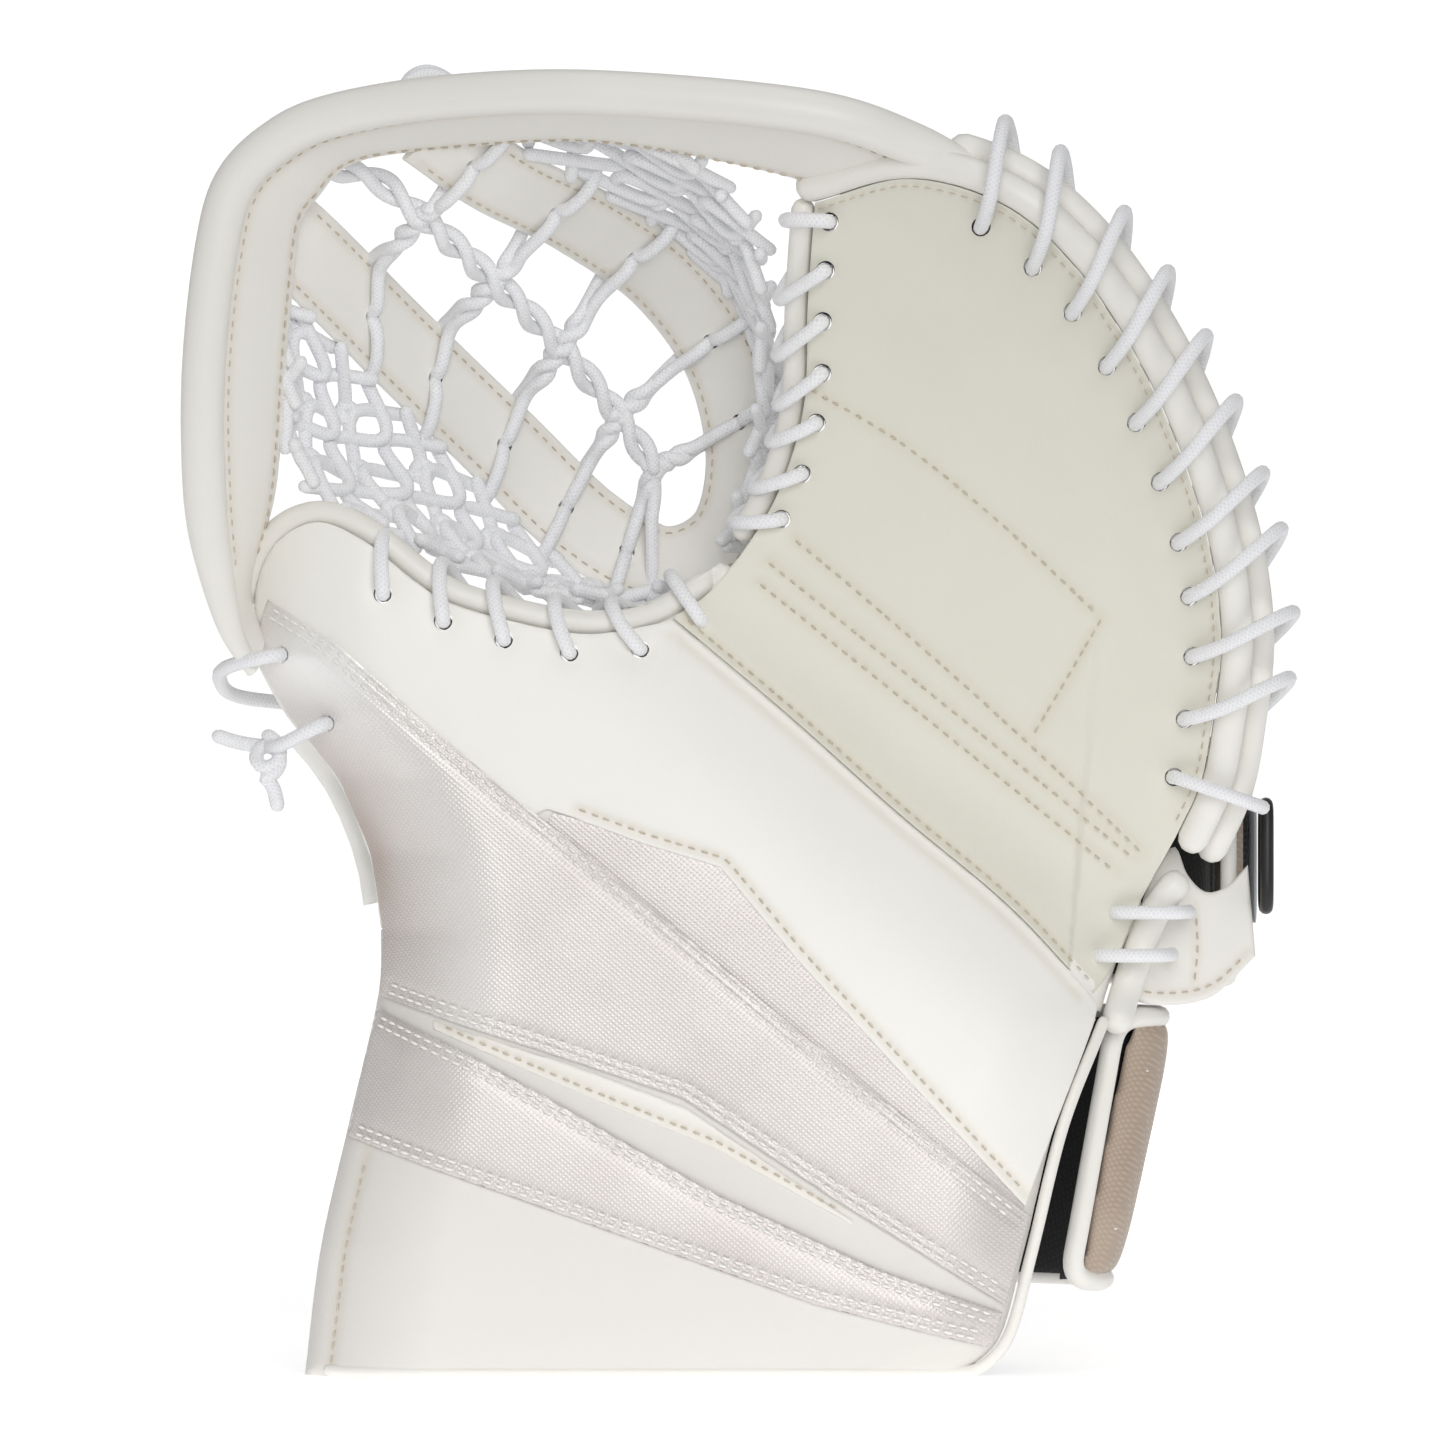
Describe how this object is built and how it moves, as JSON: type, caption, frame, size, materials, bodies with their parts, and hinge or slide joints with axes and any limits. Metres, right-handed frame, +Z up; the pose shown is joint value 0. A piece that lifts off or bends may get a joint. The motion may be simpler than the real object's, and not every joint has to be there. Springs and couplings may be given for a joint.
{
  "type": "goalie catch glove",
  "caption": "Ice hockey goalie catch glove: one-piece cuff, folding thumb and finger halves, laced U-strap pocket, hand shells and straps.",
  "frame": {"origin": "middle of the bounding box's bottom, on the plane of the cuff's flat bottom edge", "axes": "+Z up from the cuff to the fingers, -Y out of the catching face, +X towards the little finger's side"},
  "size_m": [0.3436, 0.2133, 0.4112],
  "materials": {
    "white_leather": "white coated synthetic leather, satin",
    "palm_leather": "soft palm leather, matte",
    "satin_weave": "pearl nylon weave with a sheen",
    "nylon_lace": "braided white nylon",
    "black_lining": "black knitted lining",
    "black_webbing": "black hook-and-loop webbing",
    "black_plastic": "moulded black nylon",
    "stiffener_board": "grey polyethylene sheet",
    "taupe_nylon": "woven taupe nylon"
  },
  "bodies": {
    "palm": {"cuff_face_pad": "white_leather", "cuff_board": "stiffener_board", "cuff_lining": "black_lining", "cuff_lower_band": "satin_weave", "cuff_upper_band": "satin_weave", "cuff_crease_strip": "white_leather", "cuff_piping": "white_leather", "thumb_palm_pad": "white_leather", "thumb_satin_panel": "satin_weave", "thumb_board": "stiffener_board", "thumb_back_shell": "white_leather", "thumb_stall": "black_lining", "palm_liner": "black_lining", "break_gusset": "white_leather", "thumb_edge_roll": "white_leather", "thumb_edge_lace": "nylon_lace", "thumb_corner_lace": "nylon_lace", "rim_left": "white_leather", "rim_corner": "white_leather", "tee_strap": "white_leather", "slot_net": "nylon_lace", "thumb_net": "nylon_lace", "heel_roll": "white_leather", "wing_flap": "white_leather", "wing_lace_upper": "nylon_lace", "wing_lace_lower": "nylon_lace", "wrist_pad_tab": "white_leather", "hand_pad": "taupe_nylon", "hand_pad_lining": "black_lining", "hand_pad_tab": "white_leather", "strap_anchor": "white_leather"},
    "fingers": {"finger_palm_pad": "palm_leather", "finger_board": "stiffener_board", "finger_back_shell": "white_leather", "finger_liner": "black_lining", "finger_divider_1": "black_lining", "finger_divider_2": "black_lining", "finger_divider_3": "black_lining", "finger_front_roll": "white_leather", "finger_back_roll": "white_leather", "finger_edge_lace": "nylon_lace", "finger_pocket_roll": "white_leather", "finger_pocket_lace": "nylon_lace", "finger_net": "nylon_lace", "rim_top": "white_leather", "rim_knot": "nylon_lace"},
    "wrist_guard": {"wrist_pad": "taupe_nylon", "wrist_pad_lining": "black_lining", "wrist_pad_piping": "white_leather"},
    "strap": {"hand_strap": "black_webbing", "strap_pull_tab": "stiffener_board"},
    "keeper": {"strap_keeper": "black_plastic"}
  },
  "joints": [
    {"name": "glove_fold", "type": "hinge", "parent": "palm", "child": "fingers", "pos_m": [0.126, 0.01, 0.152], "axis": [0.7733, 0.0897, -0.6276], "range_deg": [0, 75]},
    {"name": "wrist_guard_swing", "type": "hinge", "parent": "palm", "child": "wrist_guard", "pos_m": [-0.033, 0.062, 0.072], "axis": [0, 0, 1], "range_deg": [0, 35]},
    {"name": "strap_peel", "type": "hinge", "parent": "palm", "child": "strap", "pos_m": [0.0225, 0.1005, 0.161], "axis": [0, 0, 1], "range_deg": [0, 75]},
    {"name": "keeper_flip", "type": "hinge", "parent": "palm", "child": "keeper", "pos_m": [0.168, 0.034, 0.163], "axis": [0, 0, 1], "range_deg": [-35, 0]}
  ]
}
